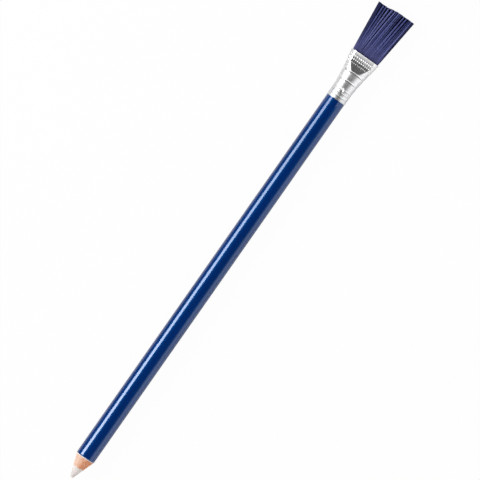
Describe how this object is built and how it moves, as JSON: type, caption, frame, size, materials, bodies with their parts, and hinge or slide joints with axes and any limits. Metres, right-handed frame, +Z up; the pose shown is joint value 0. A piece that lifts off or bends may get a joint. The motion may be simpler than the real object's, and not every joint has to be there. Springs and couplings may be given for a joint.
{
  "type": "eraser pencil with brush",
  "caption": "Wood-cased typewriter eraser pencil: a sharpened off-white eraser core in a round navy-lacquered barrel, with a flat fanned brush in a crimped aluminium ferrule.",
  "frame": {"origin": "on the surface that the pencil lies on, under the middle of its overall length", "axes": "+X from the eraser's tip towards the brush, Y across the brush's width, +Z up"},
  "size_m": [0.206, 0.0154, 0.0075],
  "materials": {
    "eraser": "matte off-white eraser compound",
    "wood": "bare sharpened softwood",
    "ground_coat": "matte pale primer",
    "lacquer": "glossy navy lacquer",
    "ferrule": "bright rolled aluminium",
    "resin": "set amber resin",
    "bristles": "satin blue-violet filament"
  },
  "bodies": {
    "root": {"eraser_core": "eraser", "casing_half_top": "wood", "casing_half_bottom": "wood", "ground_coat": "ground_coat", "lacquer_coat": "lacquer", "ferrule": "ferrule", "resin_plug": "resin", "bristle_tuft": "bristles"}
  },
  "joints": []
}
